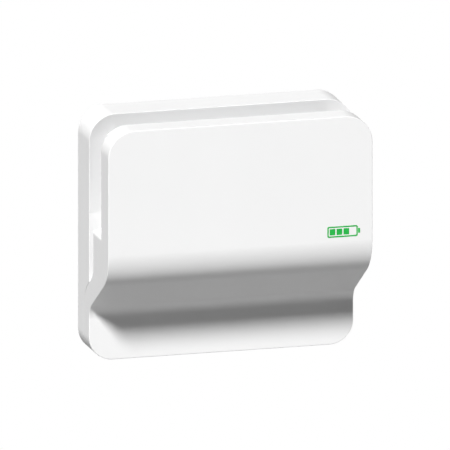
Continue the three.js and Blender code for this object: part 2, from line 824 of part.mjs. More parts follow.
function buttonBezel() {
  const ring = plug(BUTTON_X, 8.4);
  const barrel = bar(7.5, at(BUTTON_X, BOTTOM_F, 4), at(BUTTON_X, BOTTOM_F, 12), 16);
  const bore = bar(5.4, at(BUTTON_X, BOTTOM_F, -1), at(BUTTON_X, BOTTOM_F, 10), 16);
  return cut(joined(ring, barrel), bore);
}

function powerButton() {
  return bar(4.9, at(BUTTON_X, BOTTOM_F, 0.6), at(BUTTON_X, BOTTOM_F, 7), 16);
}

function dataPort() {
  const body = block([PORT_X - 11, PORT_X + 11], [6.4, 20.4], [0.4, 17]);
  const socket = block([PORT_X - 8.5, PORT_X + 8.5], [8.4, 18.4], [-1, 14]);
  return cut(body, socket);
}

function coverScrew(x) {
  return joined(
    bar(4.5, at(x, COVER_SCREW_F, 0.8), at(x, COVER_SCREW_F, 4.6), 14),
    bar(2, at(x, COVER_SCREW_F, 4), at(x, COVER_SCREW_F, 19), 10),
  );
}

// ---- Assembly ----------------------------------------------------------------------------------

const unit = new THREE.Group();
unit.position.z = -HEIGHT / 2;

function add(name, geometry, material) {
  const mesh = new THREE.Mesh(geometry, material);
  mesh.name = name;
  unit.add(mesh);
}

add("rear_housing", rearHousing(), MATERIAL.casing);
add("neck_frame", neckFrame(), MATERIAL.frame);
add("neck_gasket", neckGasket(), MATERIAL.seal);
add("wall_bracket", wallBracket(), MATERIAL.steel);
add("front_cover", frontCover(), MATERIAL.casing);
add("badge", badge(), MATERIAL.mark);
[-COVER_SCREW_X, COVER_SCREW_X].forEach((x, i) => {
  add("cover_screw_" + (i + 1), coverScrew(x), MATERIAL.steel);
});

add("cell_tray", cellTray(), MATERIAL.steel);
add("cell_clamp", cellClamp(), MATERIAL.steel);
trayScrewPlaces().forEach(([x, h], i) => {
  add("tray_screw_" + (i + 1), panScrew(x, 13.4, h, 4.2, 2.6, 2, 9), MATERIAL.steel);
});
for (let i = 0; i < CELL_COUNT; i += 1) {
  add("cell_" + (i + 1), cell(i), MATERIAL.cell);
}
for (let i = 0; i < CELL_COUNT - 1; i += 1) {
  add("busbar_" + (i + 1), busbar(i), MATERIAL.copper);
}
add("negative_tap", tap(0), MATERIAL.copper);
add("positive_tap", tap(CELL_COUNT - 1), MATERIAL.copper);
add("sense_board", senseBoard(), MATERIAL.board);

add("bms_board", bmsBoard(), MATERIAL.board);
add("bms_heatsink", heatsink(), MATERIAL.alloy);
add("bms_relay", relay(), MATERIAL.dark);
add("bms_terminals", bmsTerminals(), MATERIAL.dark);
add("sense_socket", senseSocket(), MATERIAL.device);
add("bay_rail", bayRail(), MATERIAL.steel);
add("isolator_body", isolatorBody(), MATERIAL.device);
add("isolator_toggle", isolatorToggle(), MATERIAL.red);
add("terminal_block", terminalBlock(), MATERIAL.device);
POLES.forEach((x, i) => {
  add("terminal_screw_" + (i + 1), panScrew(x, 34.4, RAIL_MIDDLE, 5, 4, 4, 0.1), MATERIAL.steel);
});
add("link_bar", linkBar(), MATERIAL.copper);
add("fuse_holder", fuseHolder(), MATERIAL.dark);
add("fuse_link", fuseLink(), MATERIAL.ceramic);
add("positive_cable", cable(CABLE_ROUTES.positive_cable, 16), MATERIAL.red);
add("fuse_lead", cable(CABLE_ROUTES.fuse_lead, 22), MATERIAL.red);
add("negative_cable", cable(CABLE_ROUTES.negative_cable, 16), MATERIAL.black);
add("pack_lead", cable(CABLE_ROUTES.pack_lead, 26), MATERIAL.black);
add("sense_lead", senseLead(), MATERIAL.ribbon);

Object.entries(GROMMETS).forEach(([name, x]) => add(name, plug(x, 8.4), MATERIAL.seal));
add("breather_vent", plug(VENT_X, 7.4), MATERIAL.seal);
add("button_bezel", buttonBezel(), MATERIAL.dark);
add("power_button", powerButton(), MATERIAL.frame);
add("data_port", dataPort(), MATERIAL.dark);

export default unit;
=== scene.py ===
"""Looks of the wall battery unit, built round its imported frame.

Lengths below are millimetres in the unit's own terms, as its design gives them: x across, f forward
from the wall and h above the bottom edge. place() turns them into the frame's metres.
"""

import math

import bmesh
import bpy
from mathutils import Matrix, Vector


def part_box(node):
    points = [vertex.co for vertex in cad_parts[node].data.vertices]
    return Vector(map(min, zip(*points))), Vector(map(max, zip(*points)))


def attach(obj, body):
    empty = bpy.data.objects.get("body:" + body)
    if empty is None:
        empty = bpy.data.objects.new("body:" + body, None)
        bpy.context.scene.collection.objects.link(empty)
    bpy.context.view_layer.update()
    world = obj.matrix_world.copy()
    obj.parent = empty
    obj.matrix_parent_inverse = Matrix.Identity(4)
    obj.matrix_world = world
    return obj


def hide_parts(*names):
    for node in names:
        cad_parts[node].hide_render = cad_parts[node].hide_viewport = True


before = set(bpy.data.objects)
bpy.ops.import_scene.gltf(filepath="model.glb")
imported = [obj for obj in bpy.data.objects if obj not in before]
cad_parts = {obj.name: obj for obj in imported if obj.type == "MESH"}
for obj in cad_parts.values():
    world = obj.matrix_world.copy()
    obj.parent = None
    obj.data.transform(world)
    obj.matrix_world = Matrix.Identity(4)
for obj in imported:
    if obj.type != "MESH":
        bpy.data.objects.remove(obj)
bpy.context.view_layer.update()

# ---- Design dimensions --------------------------------------------------------------------------

MM = 0.001
WIDTH = 330
HEIGHT = 305
SLAB_FRONT = 51
GROOVE_FRONT = 105
GROOVE_DEPTH = 20
GROOVE_DROP = 4.5
DISH_FOOT = 166
DISH_CORNER = 21
RIM_REAR = 43.5
COVER_FRONT = 138
TOP_CORNER = 33
LOW_CORNER = 29.5
WALL = 3
BULGE_RADIUS = 53.6
BULGE_HEIGHT = 151.3
HOLLOW_RADIUS = 24
LOWER_FRONT = 50.6
UNDERSIDE_TURN = 56.3
STEP_FRONT = 25
STEP_TOP = 55
STEP_BEND = 82
STEP_END = 98.3
SLOT_FRONT = 69
SLOT_BEND = 109.6
SLOT_END = 118
RAMP_TOP = 190
RAMP_FOOT = 167
NECK_HALF = 145
NECK_TOP = 285
NECK_CORNER = 20
NECK_FOOT = 96
NECK_REAR = 38
NECK_FRONT = 110
MARK_HEIGHT = 162.5
PARTING_GAP = (0.4, 1.2)  # at the lower step, and where the slab begins
RUNNING_GAP = 0.5
BOTTOM_F = 13.4
COVER_SCREW_X = 72
COVER_SCREW_F = 38
VENT_X = -130
BUTTON_X = -104
BOARD_CORNERS = [(x, h) for x in (-145, -21) for h in (41, 111)]
CELL_PITCH = 27.6
FAR = 40  # how far cutting shapes run past what they cut

EDGE_ROUND = 0.9
RAMP_ROUND = 5
INSIDE_ROUND = 0.5
PARTING_ROUND = 0.12
SLAB_ROUND = 0.6
BACK_ROUND = 1.2

# ---- Outlines -----------------------------------------------------------------------------------


def place(x, f, h):
    return Vector((x, -f, h - HEIGHT / 2)) * MM


def arc(cx, cy, rx, ry, start, end, steps):
    """Points along an ellipse's arc, angles in degrees."""
    turns = [math.radians(start + (end - start) * i / steps) for i in range(steps + 1)]
    return [(cx + rx * math.cos(t), cy + ry * math.sin(t)) for t in turns]


def rounded(x, y, top, low=None, steps=16):
    """A rectangle x = (low, high), y = (low, high) with round corners, anticlockwise."""
    low = top if low is None else low
    return (
        arc(x[1] - low, y[0] + low, low, low, -90, 0, steps)
        + arc(x[1] - top, y[1] - top, top, top, 0, 90, steps)
        + arc(x[0] + top, y[1] - top, top, top, 90, 180, steps)
        + arc(x[0] + low, y[0] + low, low, low, 180, 270, steps)
    )


def rectangle(x, y):
    return [(x[0], y[0]), (x[1], y[0]), (x[1], y[1]), (x[0], y[1])]


def slab_outline(inset=0):
    half = WIDTH / 2 - inset
    return rounded((-half, half), (inset, HEIGHT - inset), TOP_CORNER - inset, LOW_CORNER - inset, 20)


def dish_outline(inset):
    """The shallow dish round the neck, in the rear housing's front."""
    half = WIDTH / 2 - inset
    h = DISH_FOOT + inset, HEIGHT - inset
    return rounded((-half, half), h, TOP_CORNER - inset, DISH_CORNER - inset, 20)


def neck_outline(grow, foot):
    half, top, radius = NECK_HALF + grow, NECK_TOP + grow, NECK_CORNER + grow
    return (
        [(-half, foot), (half, foot)]
        + arc(half - radius, top - radius, radius, radius, 0, 90, 12)
        + arc(radius - half, top - radius, radius, radius, 90, 180, 12)
    )


def above_ramps(grow=0):
    out = WIDTH / 2
    wide, foot = out - NECK_HALF - RUNNING_GAP + grow, RAMP_FOOT - grow
    return (
        [(-WIDTH, foot)]
        + arc(-out, RAMP_TOP, wide, RAMP_TOP - foot, -90, 0, 14)
        + arc(out, RAMP_TOP, wide, RAMP_TOP - foot, 180, 270, 14)
        + [(WIDTH, foot), (WIDTH, HEIGHT + FAR), (-WIDTH, HEIGHT + FAR)]
    )


def front_profile(inset):
    """The front seen from the side, in f and h: lower face, hollow, underside, bulge, face."""
    turn = math.radians(UNDERSIDE_TURN)
    bulge_f = COVER_FRONT - BULGE_RADIUS
    hollow_f = LOWER_FRONT + HOLLOW_RADIUS
    upper = (bulge_f + BULGE_RADIUS * math.cos(turn), BULGE_HEIGHT - BULGE_RADIUS * math.sin(turn))
    lower_f = hollow_f - HOLLOW_RADIUS * math.cos(turn)
    drop = (upper[0] - lower_f) / math.tan(turn)
    hollow_h = upper[1] - drop - HOLLOW_RADIUS * math.sin(turn)
    hollow, bulge = HOLLOW_RADIUS + inset, BULGE_RADIUS - inset
    return (
        [(-FAR, inset), (LOWER_FRONT - inset, inset)]
        + arc(hollow_f, hollow_h, hollow, hollow, 180, 180 - UNDERSIDE_TURN, 20)
        + arc(bulge_f, BULGE_HEIGHT, bulge, bulge, -UNDERSIDE_TURN, 0, 30)
        + [(COVER_FRONT - inset, HEIGHT + FAR), (-FAR, HEIGHT + FAR)]
    )


def bend(start, control, end, steps):
    points = []
    for i in range(steps + 1):
        t = i / steps
        shares = (1 - t) ** 2, 2 * t * (1 - t), t * t
        corners = list(zip(shares, (start, control, end)))
        points.append(tuple(sum(share * p[j] for share, p in corners) for j in (0, 1)))
    return points


def rear_profile(low_gap=0, top_gap=0):
    """Everything behind the parting line, in f and h. The gap may widen upwards."""
    step, slab = STEP_FRONT + low_gap, SLAB_FRONT + top_gap
    curve = bend((step, STEP_TOP), (step, STEP_BEND), (slab, STEP_END), 20)
    return [(-FAR, -FAR), (step, -FAR)] + curve + [(slab, HEIGHT + FAR), (-FAR, HEIGHT + FAR)]


def slot_profile(grow=0):
    """The slots beside the cheeks and all above them, in f and h."""
    rear, front, foot = SLAB_FRONT - 12, SLOT_FRONT + grow, STEP_END - 1.2 * grow
    curve = bend((SLAB_FRONT, foot), (front, SLOT_BEND - grow), (front, SLOT_END), 12)
    return [(rear, foot - 8)] + curve + [(front, HEIGHT + FAR), (rear, HEIGHT + FAR)]


# ---- Mesh building ------------------------------------------------------------------------------

AXES = {
    "f": lambda a, b, c: place(a, c, b),
    "x": lambda a, b, c: place(c, a, b),
    "h": lambda a, b, c: place(a, b, c),
}


def new_object(name, bm):
    bmesh.ops.recalc_face_normals(bm, faces=bm.faces)
    mesh = bpy.data.meshes.new(name)
    bm.to_mesh(mesh)
    bm.free()
    made = bpy.data.objects.new(name, mesh)
    bpy.context.scene.collection.objects.link(made)
    return made


def prism(outline, axis, span, name="shape"):
    """An outline given in the two other directions, extruded along axis f, x or h."""
    bm = bmesh.new()
    to_point = AXES[axis]
    points = [p for i, p in enumerate(outline) if math.dist(p, outline[i - 1]) > 1e-6]
    ends = [[bm.verts.new(to_point(a, b, c)) for a, b in points] for c in span]
    for ring in ends:
        bm.faces.new(ring)
    for i in range(len(points)):
        bm.faces.new((ends[0][i - 1], ends[0][i], ends[1][i], ends[1][i - 1]))
    return new_object(name, bm)


def frustum(rear, front):
    """Two outlines in x and h, each given with its f, joined point by point."""
    bm = bmesh.new()
    ends = [[bm.verts.new(place(x, f, h)) for x, h in points] for points, f in (rear, front)]
    for ring in ends:
        bm.faces.new(ring)
    for i in range(len(ends[0])):
        bm.faces.new((ends[0][i - 1], ends[0][i], ends[1][i], ends[1][i - 1]))
    return new_object("shape", bm)


def block(x, f, h, name="shape"):
    return prism(rectangle(x, h), "f", f, name)


def lathe(profile, centre, axis, sides=32, name="shape"):
    """A closed profile of (radius, distance along the axis) points, turned about an axis f or h."""
    bm = bmesh.new()
    rings = []
    for radius, along in profile:
        if radius == 0:
            turns = [(0, 0)]
        else:
            turns = arc(0, 0, radius, radius, 0, 360, sides)[:-1]
        if axis == "f":
            ring = [place(centre[0] + a, centre[1] + along, centre[2] + b) for a, b in turns]
        else:
            ring = [place(centre[0] + a, centre[1] + b, centre[2] + along) for a, b in turns]
        rings.append([bm.verts.new(p) for p in ring])
    pairs = list(zip(rings, rings[1:]))
    if profile[0][0] and profile[-1][0]:
        pairs.append((rings[-1], rings[0]))
    for low, high in pairs:
        for i in range(sides):
            if len(low) == 1:
                bm.faces.new((low[0], high[i], high[i - 1]))
            elif len(high) == 1:
                bm.faces.new((low[i - 1], low[i], high[0]))
            else:
                bm.faces.new((low[i - 1], low[i], high[i], high[i - 1]))
    return new_object(name, bm)


def join(name, *objects):
    """One mesh out of several, which are used up."""
    bm = bmesh.new()
    for o in objects:
        bm.from_mesh(o.data)
        bpy.data.objects.remove(o)
    return new_object(name, bm)


def settle(o):
    """Applies the object's modifiers to its mesh."""
    bpy.context.view_layer.update()
    graph = bpy.context.evaluated_depsgraph_get()
    mesh = bpy.data.meshes.new_from_object(o.evaluated_get(graph))
    o.modifiers.clear()
    o.data = mesh
    return o


def boolean(o, operation, *tools):
    for tool in tools:
        step = o.modifiers.new(operation, "BOOLEAN")
        step.operation = operation
        step.solver = "EXACT"
        step.object = tool
        settle(o)
        bpy.data.objects.remove(tool)
    return o


def cut(o, *tools):
    return boolean(o, "DIFFERENCE", *tools)


def both(o, *tools):
    return boolean(o, "INTERSECT", *tools)


def weld(o, *tools):
    return boolean(o, "UNION", *tools)


def clean(bm):
    bmesh.ops.remove_doubles(bm, verts=bm.verts, dist=2e-6)
    bmesh.ops.dissolve_limit(
        bm, angle_limit=math.radians(0.4), verts=bm.verts, edges=bm.edges, delimit={"NORMAL"}
    )


def round_edges(o, width_at, widest, segments=4, sharp=28):
    """Rounds the sharp edges by the width in mm that width_at gives for an edge's middle."""
    bm = bmesh.new()
    bm.from_mesh(o.data)
    clean(bm)
    layer = bm.edges.layers.float.new("bevel_weight_edge")
    for edge in bm.edges:
        if len(edge.link_faces) != 2 or edge.calc_face_angle(0) < math.radians(sharp):
            continue
        mid = (edge.verts[0].co + edge.verts[1].co) / 2 / MM
        width = width_at(mid.x, -mid.y, mid.z + HEIGHT / 2, edge)
        edge[layer] = min(1, width / widest)
    bm.to_mesh(o.data)
    bm.free()
    step = o.modifiers.new("edges", "BEVEL")
    step.limit_method = "WEIGHT"
    step.width = widest * MM
    step.segments = segments
    step.use_clamp_overlap = False
    step.miter_outer = "MITER_ARC"
    return settle(o)


def smooth(o, angle=32):
    """Smooth shading with the flat faces kept flat."""
    o.data.shade_smooth()
    o.data.set_sharp_from_angle(angle=math.radians(angle))
    step = o.modifiers.new("normals", "WEIGHTED_NORMAL")
    step.keep_sharp = True
    step.weight = 90
    return o


def piece(o, name, body, material, edge=0.0, segments=2, replaces=()):
    """Finishes a piece: name, rounded edges, shading, material, and the body it rides on."""
    o.name = name
    if edge:
        step = o.modifiers.new("edges", "BEVEL")
        step.width = edge * MM
        step.segments = segments
        step.limit_method = "ANGLE"
        step.angle_limit = math.radians(40)
        step.use_clamp_overlap = True
    o.data.materials.clear()
    o.data.materials.append(material)
    if o.type == "MESH":
        smooth(o)
    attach(o, body)
    if replaces:
        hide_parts(*replaces)
    return o


def dress(node, material, edge=0.0, segments=2):
    """Gives a CAD node its material, and its edges a fine rounding."""
    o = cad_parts[node]
    o.data.materials.clear()
    o.data.materials.append(material)
    if edge:
        step = o.modifiers.new("edges", "BEVEL")
        step.width = edge * MM
        step.segments = segments
        step.limit_method = "ANGLE"
        step.angle_limit = math.radians(40)
        step.use_clamp_overlap = True
    for polygon in o.data.polygons:
        polygon.use_smooth = True
    o.data.set_sharp_from_angle(angle=math.radians(32))
    return o


# ---- Materials ----------------------------------------------------------------------------------


class Finish:
    """A node material on a Principled surface, with its pattern in the part's own coordinates."""

    def __init__(self, name, colour, roughness, **values):
        self.material = bpy.data.materials.new(name)
        self.material.use_nodes = True
        self.material.diffuse_color = (*colour, 1)
        tree = self.material.node_tree
        self.nodes, self.links = tree.nodes, tree.links
        self.surface = self.nodes["Principled BSDF"]
        self.surface.inputs["Base Color"].default_value = (*colour, 1)
        self.surface.inputs["Roughness"].default_value = roughness
        for socket, value in values.items():
            self.surface.inputs[socket.replace("_", " ")].default_value = value
        self.place = self.nodes.new("ShaderNodeTexCoord").outputs["Object"]
        self.colour, self.roughness = colour, roughness
        self.height = None

    def stretched(self, scale):
        node = self.nodes.new("ShaderNodeMapping")
        node.inputs["Scale"].default_value = scale
        self.links.new(self.place, node.inputs["Vector"])
        return node.outputs["Vector"]

    def noise(self, scale, detail=2.0, place=None):
        node = self.nodes.new("ShaderNodeTexNoise")
        node.inputs["Scale"].default_value = scale
        node.inputs["Detail"].default_value = detail
        self.links.new(place or self.place, node.inputs["Vector"])
        return node.outputs["Fac"]

    def ranged(self, value, low, high, source=(0.3, 0.7)):
        node = self.nodes.new("ShaderNodeMapRange")
        node.inputs["From Min"].default_value = source[0]
        node.inputs["From Max"].default_value = source[1]
        node.inputs["To Min"].default_value = low
        node.inputs["To Max"].default_value = high
        self.links.new(value, node.inputs["Value"])
        return node.outputs["Result"]

    def tinted(self, value, other, low=0.3, high=0.7):
        """Mixes the base colour towards another where value runs from low to high."""
        node = self.nodes.new("ShaderNodeMix")
        node.data_type = "RGBA"
        was = self.surface.inputs["Base Color"]
        if was.is_linked:
            self.links.new(was.links[0].from_socket, node.inputs[6])
        else:
            node.inputs[6].default_value = (*self.colour, 1)
        node.inputs[7].default_value = (*other, 1)
        self.links.new(self.ranged(value, 0, 1, (low, high)), node.inputs[0])
        self.links.new(node.outputs[2], was)
        return self

    def rough(self, value, spread):
        low, high = self.roughness - spread, self.roughness + spread
        self.links.new(self.ranged(value, low, high), self.surface.inputs["Roughness"])
        return self

    def bump(self, value, strength, distance):
        node = self.nodes.new("ShaderNodeBump")
        node.inputs["Strength"].default_value = strength
        node.inputs["Distance"].default_value = distance * MM
        self.links.new(value, node.inputs["Height"])
        if self.height is not None:
            self.links.new(self.height, node.inputs["Normal"])
        self.height = node.outputs["Normal"]
        self.links.new(self.height, self.surface.inputs["Normal"])
        return self


def moulded(name, colour, roughness, shade=0.97, grain=1600, **values):
    """Moulded plastic: a fine spark-eroded grain, a faint flow of tone and of gloss."""
    made = Finish(name, colour, roughness, **values)
    made.tinted(made.noise(9, 3), tuple(c * shade for c in colour))
    made.rough(made.noise(60, 3), 0.04)
    made.bump(made.noise(grain, 2), 0.12, 0.05)
    return made.material


def sheet_metal(name, colour, roughness, along=(1, 1, 40), worn=0.8):
    """Rolled or drawn metal: fine lines one way, cloudy tone and gloss."""
    made = Finish(name, colour, roughness, Metallic=1.0)
    lines = made.noise(90, 4, made.stretched(along))
    made.tinted(made.noise(45, 4), tuple(c * worn for c in colour))
    made.rough(lines, 0.08)
    made.bump(lines, 0.15, 0.05)
    return made.material


def rubber(name, colour, roughness=0.75, grain=900):
    made = Finish(name, colour, roughness)
    made.tinted(made.noise(30, 3), tuple(c * 1.6 + 0.004 for c in colour))
    made.rough(made.noise(120, 2), 0.08)
    made.bump(made.noise(grain, 3), 0.25, 0.06)
    return made.material


def circuit_board():
    """Green solder resist with lighter tracks under it."""
    made = Finish("circuit_board", (0.012, 0.12, 0.045), 0.38, Coat_Weight=0.3)
    tracks = made.nodes.new("ShaderNodeTexBrick")
    tracks.inputs["Scale"].default_value = 130
    tracks.inputs["Mortar Size"].default_value = 0.06
    tracks.inputs["Color1"].default_value = (0, 0, 0, 1)
    tracks.inputs["Color2"].default_value = (0.25, 0.25, 0.25, 1)
    tracks.inputs["Mortar"].default_value = (1, 1, 1, 1)
    turned = made.nodes.new("ShaderNodeMapping")
    turned.inputs["Rotation"].default_value = (math.radians(90), 0, 0)
    made.links.new(made.place, turned.inputs["Vector"])
    made.links.new(turned.outputs["Vector"], tracks.inputs["Vector"])
    made.tinted(tracks.outputs["Color"], (0.03, 0.26, 0.09), 0.0, 1.0)
    made.tinted(made.noise(25, 2), (0.008, 0.09, 0.035))
    made.bump(tracks.outputs["Color"], 0.3, 0.04)
    return made.material


def cell_film():
    """Blue shrink film: low creases, a faint mottle."""
    made = Finish("cell_film", (0.02, 0.12, 0.42), 0.33, Coat_Weight=0.25)
    made.tinted(made.noise(18, 3), (0.015, 0.085, 0.33))
    made.rough(made.noise(70, 3), 0.07)
    made.bump(made.noise(35, 2, made.stretched((3, 1, 0.6))), 0.35, 0.5)
    return made.material


def printed_mark():
    """Green pad print with a slightly uneven ink film."""
    made = Finish("printed_mark", (0.008, 0.36, 0.045), 0.4)
    made.tinted(made.noise(300, 3), (0.012, 0.43, 0.06))
    made.rough(made.noise(200, 2), 0.06)
    made.bump(made.noise(1500, 2), 0.15, 0.03)
    return made.material


def speckled(name, colour, roughness):
    made = Finish(name, colour, roughness)
    made.tinted(made.noise(700, 4), tuple(c * 0.8 for c in colour), 0.5, 0.75)
    made.rough(made.noise(90, 2), 0.06)
    made.bump(made.noise(500, 3), 0.2, 0.06)
    return made.material


WHITE = (0.8, 0.8, 0.8)
CASING = moulded("casing_white", WHITE, 0.42, 0.985)
# Painted shade: the neck sleeve is grey, not casing white, so that less light bounces into the groove
# round it and the groove stays dark.
NECK_SHADE_GREY = moulded("neck_grey_painted_shade", (0.24, 0.245, 0.25), 0.5)
SEAL = rubber("seal_black", (0.018, 0.018, 0.02))
MARK = printed_mark()
ZINC = sheet_metal("zinc_plate", (0.58, 0.6, 0.62), 0.34, (1, 1, 14))
TRAY_STEEL = sheet_metal("galvanised", (0.5, 0.52, 0.54), 0.42, (1, 1, 30), 0.72)
SCREW_STEEL = sheet_metal("screw_steel", (0.62, 0.62, 0.63), 0.26, (20, 20, 20))
COPPER = sheet_metal("copper_strap", (0.8, 0.4, 0.24), 0.28, (30, 1, 1), 0.85)
ALLOY = sheet_metal("anodised_alloy", (0.42, 0.43, 0.45), 0.38, (30, 1, 1))
FILM = cell_film()
BOARD = circuit_board()
DEVICE = moulded("device_grey", (0.6, 0.61, 0.62), 0.5, 0.93)
DARK = moulded("device_black", (0.03, 0.031, 0.034), 0.48, 1.5, 1100)
RED = moulded("toggle_red", (0.52, 0.022, 0.018), 0.35, 0.88)
CERAMIC = speckled("fuse_ceramic", (0.76, 0.71, 0.58), 0.42)
CABLE_RED = rubber("cable_red", (0.42, 0.014, 0.012), 0.5)
CABLE_BLACK = rubber("cable_black", (0.014, 0.014, 0.016), 0.5)
RIBBON = rubber("ribbon_grey", (0.3, 0.32, 0.35), 0.55)
CHIP = moulded("chip_black", (0.012, 0.012, 0.013), 0.55, 1.8, 2500)
TIN = sheet_metal("tinned", (0.75, 0.75, 0.74), 0.3, (20, 20, 20))

# ---- Casing -------------------------------------------------------------------------------------


def near(a, b, by=0.3):
    return abs(a - b) < by


def depth_inside(x, h):
    """How far (x, h) lies inside the slab's outline."""
    corner = TOP_CORNER if h > HEIGHT / 2 else LOW_CORNER
    across = abs(x) - (WIDTH / 2 - corner)
    along = h - (HEIGHT - corner) if h > HEIGHT / 2 else corner - h
    if across > 0 and along > 0:
        return corner - math.hypot(across, along)
    return min(WIDTH / 2 - abs(x), h, HEIGHT - h)


def cover_edge_width(x, f, h, edge):
    """How round each edge of the cover is, in mm."""
    if not near(depth_inside(x, h), 0):
        return INSIDE_ROUND if f > GROOVE_FRONT - 0.5 or h > NECK_FOOT else 0
    if max(face.normal.y for face in edge.link_faces) > 0.3:
        return EDGE_ROUND if f > GROOVE_FRONT - 0.5 or h > STEP_END + 2 else PARTING_ROUND
    return RAMP_ROUND if h > RAMP_FOOT - 1 and f < GROOVE_FRONT + 0.3 else EDGE_ROUND


def front_cover():
    across, rear = (-WIDTH, WIDTH), STEP_FRONT - 10
    shell = prism(slab_outline(), "f", (rear, COVER_FRONT))
    both(shell, prism(front_profile(0), "x", across))
    cut(shell, prism(rear_profile(*PARTING_GAP), "x", across), prism(slot_profile(), "x", across))
    cut(shell, prism(above_ramps(), "f", (rear - 1, GROOVE_FRONT)))
    walls = prism(above_ramps(WALL), "f", (rear - 2, GROOVE_FRONT + WALL))
    weld(walls, prism(slot_profile(WALL), "x", across))
    cut(walls, prism(neck_outline(RUNNING_GAP, -FAR), "f", (rear - 3, COVER_FRONT + 1)))
    hollow = prism(slab_outline(WALL), "f", (rear, COVER_FRONT))
    both(hollow, prism(front_profile(WALL), "x", across))
    cut(shell, cut(hollow, walls))
    round_edges(shell, cover_edge_width, RAMP_ROUND, 5)
    for x in (-COVER_SCREW_X, COVER_SCREW_X):
        centre = (x, COVER_SCREW_F, 0)
        weld(shell, lathe([(0, 1), (6.5, 1), (6.5, 11.4), (0, 11.4)], centre, "h", 40))
        bore = [(0, -1), (5, -1), (5, 5), (2.5, 5), (2.5, 13), (0, 13)]
        cut(shell, lathe(bore, centre, "h", 40))
    return shell


def lathed(node, profile, centre, axis, material, sides=40, body="base", recess=None, name=None):
    """A turned piece in place of a CAD node, with an optional star recess (size, from, to)."""
    o = lathe(profile, centre, axis, sides)
    if recess:
        size, low, high = recess
        x, f, h = centre
        if axis == "f":
            star = [(x + a, h + b) for a, b in star_outline(size)]
            cut(o, prism(star, "f", (f + low, f + high)))
        else:
            star = [(x + a, f + b) for a, b in star_outline(size)]
            cut(o, prism(star, "h", (h + low, h + high)))
    return piece(o, name or node + "_turned", body, material, 0.15, 2, [node] if node else ())


def screw(node, profile, centre, axis, recess, body="base"):
    lathed(node, profile, centre, axis, SCREW_STEEL, 32, body, recess)


def star_outline(size):
    """A six-lobed screw recess."""
    turns = [math.radians(i * 7.5) for i in range(48)]
    reaches = [size * (1 + 0.16 * math.cos(6 * t)) for t in turns]
    return [(r * math.cos(t), r * math.sin(t)) for r, t in zip(reaches, turns)]


def housing_edge_width(x, f, h, edge):
    if not near(depth_inside(x, h), 0):
        return 0
    if near(f, 0):
        return BACK_ROUND
    return SLAB_ROUND if near(f, SLAB_FRONT) and h > STEP_END + 0.5 else PARTING_ROUND


def tray_screw_places():
    return [(x, h) for h in (140, 258) for x in (-122, 122)]


def rear_housing():
    across = (-WIDTH, WIDTH)
    shell = prism(slab_outline(), "f", (0, SLAB_FRONT))
    both(shell, prism(rear_profile(), "x", across))
    slope = GROOVE_DROP / GROOVE_DEPTH
    rear = dish_outline(GROOVE_DEPTH), SLAB_FRONT - GROOVE_DROP
    cut(shell, frustum(rear, (dish_outline(-2), SLAB_FRONT + 2 * slope)))
    hollow = prism(slab_outline(WALL), "f", (WALL, RIM_REAR))
    weld(hollow, prism(neck_outline(RUNNING_GAP, -FAR), "f", (RIM_REAR - 1, SLAB_FRONT + FAR)))
    low = prism(slab_outline(WALL), "f", (WALL, 60))
    weld(hollow, both(low, block(across, (WALL - 1, 61), (0, STEP_END - 8))))
    cut(shell, hollow)
    round_edges(shell, housing_edge_width, BACK_ROUND)
    housing_mounts(shell)
    housing_openings(shell)
    return shell


def housing_mounts(shell):
    """What stands on the housing's inside: bracket pad, bosses, screw tabs and ribs."""
    weld(shell, block((-83, 83), (WALL - 1, 6.5), (104, 208)))
    for x, h in tray_screw_places():
        boss = [(0, WALL - 1), (6, WALL - 1), (5, 4), (5, 10.6), (0, 10.6)]
        weld(shell, lathe(boss, (x, 0, h), "f", 32))
        cut(shell, lathe([(0, 4), (2.3, 4), (2.3, 12), (0, 12)], (x, 0, h), "f", 24))
    for x, h in BOARD_CORNERS:
        boss = [(0, WALL - 1), (3.5, WALL - 1), (3.5, 9.6), (0, 9.6)]
        weld(shell, lathe(boss, (x, 0, h), "f", 24))
    for x in (-COVER_SCREW_X, COVER_SCREW_X):
        weld(shell, block((x - 8, x + 8), (WALL - 1, 46), (12, 15)))
        weld(shell, prism([(WALL - 1, 14), (30, 14), (WALL - 1, 30)], "x", (x - 1.5, x + 1.5)))
        cut(shell, block((x - 2.8, x + 2.8), (COVER_SCREW_F - 3, 50), (10, 17)))
    for x in range(-120, 121, 40):  # stiffening ribs along the back wall
        weld(shell, block((x - 0.8, x + 0.8), (WALL - 1, 6), (215, 296)))


def housing_openings(shell):
    """The recess and hook slots at the back, and the openings in the bottom wall."""
    cut(shell, block((-79.5, 79.5), (-1, 3.2), (107.5, 204.5)))
    for x in (-50, 50):
        cut(shell, block((x - 7, x + 7), (-2, 8), (183, 194.9)))
    for x, radius in ((96, 8.4), (122, 8.4), (VENT_X, 7.4), (BUTTON_X, 8.4)):
        hole = [(0, -1), (radius, -1), (radius, WALL + 1), (0, WALL + 1)]
        cut(shell, lathe(hole, (x, BOTTOM_F, 0), "h", 40))
    cut(shell, block((23.5, 46.5), (5.9, 20.9), (-1, WALL + 1)))


def neck_sleeve():
    front = NECK_REAR, NECK_FRONT
    sleeve = prism(neck_outline(0, NECK_FOOT), "f", front)
    weld(sleeve, prism(neck_outline(10, NECK_FOOT), "f", (NECK_REAR, NECK_REAR + WALL)))
    cut(sleeve, prism(neck_outline(-WALL, NECK_FOOT - 1), "f", (NECK_REAR - 1, NECK_FRONT + 1)))
    cut(sleeve, block((-WIDTH, WIDTH), (84, NECK_FRONT + 1), (NECK_FOOT - 2, 113)))
    return sleeve


